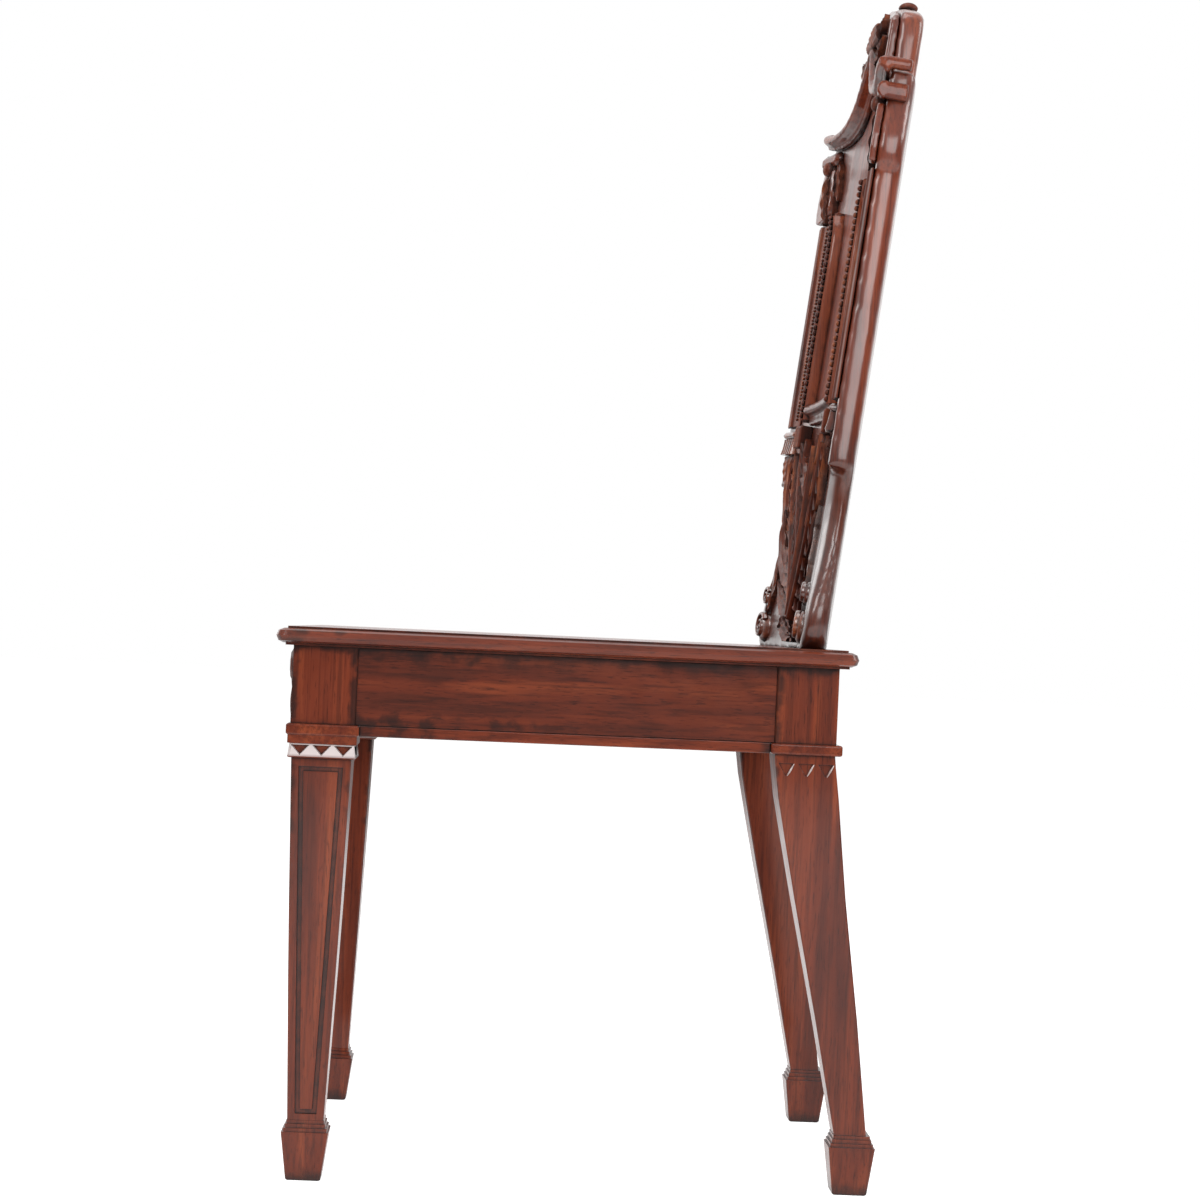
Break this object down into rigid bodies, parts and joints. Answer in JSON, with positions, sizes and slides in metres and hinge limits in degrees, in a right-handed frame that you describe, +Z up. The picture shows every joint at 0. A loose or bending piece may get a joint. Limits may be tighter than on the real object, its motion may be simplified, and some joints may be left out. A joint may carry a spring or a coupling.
{
  "type": "shield back chair",
  "caption": "Wooden hall chair with a tall carved and dished shield back, a moulded solid seat, tapered collared legs and raked rear legs.",
  "frame": {"origin": "on the floor, at the centre of the chair's bounding box seen from above", "axes": "+Z up, the sitter faces -Y, +X towards the sitter's left"},
  "size_m": [0.4768, 0.5538, 1.0776],
  "materials": {
    "wood": "French polished mahogany, glossy",
    "panel_wood": "French polished figured mahogany, glossy",
    "carved_wood": "carved mahogany, waxed, dark in the recesses",
    "block_wood": "unpolished secondary timber",
    "steel": "plain steel wood screws"
  },
  "bodies": {
    "root": {"seat_board": "wood", "left_front_leg": "wood", "right_front_leg": "wood", "left_rear_leg": "wood", "right_rear_leg": "wood", "left_front_collar": "carved_wood", "right_front_collar": "carved_wood", "left_rear_collar": "carved_wood", "right_rear_collar": "carved_wood", "left_rosette": "carved_wood", "right_rosette": "carved_wood", "front_rail": "wood", "rear_rail": "wood", "left_side_rail": "wood", "right_side_rail": "wood", "front_rail_bead": "wood", "rear_rail_bead": "wood", "left_side_rail_bead": "wood", "right_side_rail_bead": "wood", "left_front_corner_block": "block_wood", "right_front_corner_block": "block_wood", "left_front_seat_screw": "steel", "right_front_seat_screw": "steel", "left_rear_corner_block": "block_wood", "right_rear_corner_block": "block_wood", "left_rear_seat_screw": "steel", "right_rear_seat_screw": "steel", "left_inner_back_screw": "steel", "right_inner_back_screw": "steel", "left_outer_back_screw": "steel", "right_outer_back_screw": "steel", "back_board": "wood", "shield_panel": "panel_wood", "crest_rail": "wood", "crest_shell": "carved_wood", "crest_finial": "carved_wood", "sill_moulding": "wood", "centre_stem": "carved_wood", "left_cornice": "wood", "right_cornice": "wood", "left_ear_roll": "wood", "right_ear_roll": "wood", "left_ear_bracket": "wood", "right_ear_bracket": "wood", "left_ear_leaf": "carved_wood", "right_ear_leaf": "carved_wood", "left_frame_moulding": "carved_wood", "right_frame_moulding": "carved_wood", "left_bead_border": "carved_wood", "right_bead_border": "carved_wood", "left_pilaster": "carved_wood", "right_pilaster": "carved_wood", "left_console": "carved_wood", "right_console": "carved_wood", "left_drop": "carved_wood", "right_drop": "carved_wood", "left_palm": "carved_wood", "right_palm": "carved_wood", "left_foot_scroll": "carved_wood", "right_foot_scroll": "carved_wood"}
  },
  "joints": []
}
